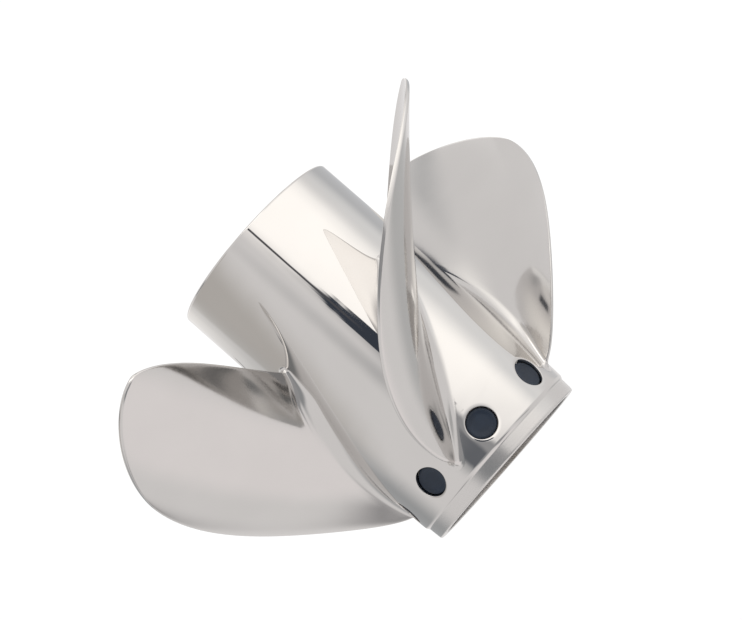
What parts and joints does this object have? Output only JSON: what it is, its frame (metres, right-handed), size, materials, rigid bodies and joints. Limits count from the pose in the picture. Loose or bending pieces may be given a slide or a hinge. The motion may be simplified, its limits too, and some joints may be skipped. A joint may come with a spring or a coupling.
{
  "type": "outboard boat propeller",
  "caption": "Cast stainless boat propeller: swept, raked blades round a wide exhaust barrel with plugged vents, an inner hub on ribs and a splined drive bore.",
  "frame": {"origin": "centre of the barrel's aft rim, where the propeller stands on a level surface", "axes": "+Z along the shaft axis towards the forward end with the vents; -Y towards the side that the picture shows"},
  "size_m": [0.2992, 0.2992, 0.197],
  "materials": {
    "polished_stainless": "polished to a soft mirror, with fine polishing lines",
    "black_plastic": "moulded, satin",
    "brass": "machined"
  },
  "bodies": {
    "root": {"hub_barrel": "polished_stainless", "blade_1": "polished_stainless", "blade_2": "polished_stainless", "blade_3": "polished_stainless", "blade_4": "polished_stainless", "inner_hub": "polished_stainless", "hub_rib_1": "polished_stainless", "hub_rib_2": "polished_stainless", "hub_rib_3": "polished_stainless", "hub_rib_4": "polished_stainless", "vent_plug_1": "black_plastic", "vent_plug_2": "black_plastic", "vent_plug_3": "black_plastic", "vent_plug_4": "black_plastic", "vent_plug_5": "black_plastic", "vent_plug_6": "black_plastic", "vent_plug_7": "black_plastic", "vent_plug_8": "black_plastic", "drive_sleeve": "black_plastic", "spline_adapter": "brass"}
  },
  "joints": []
}
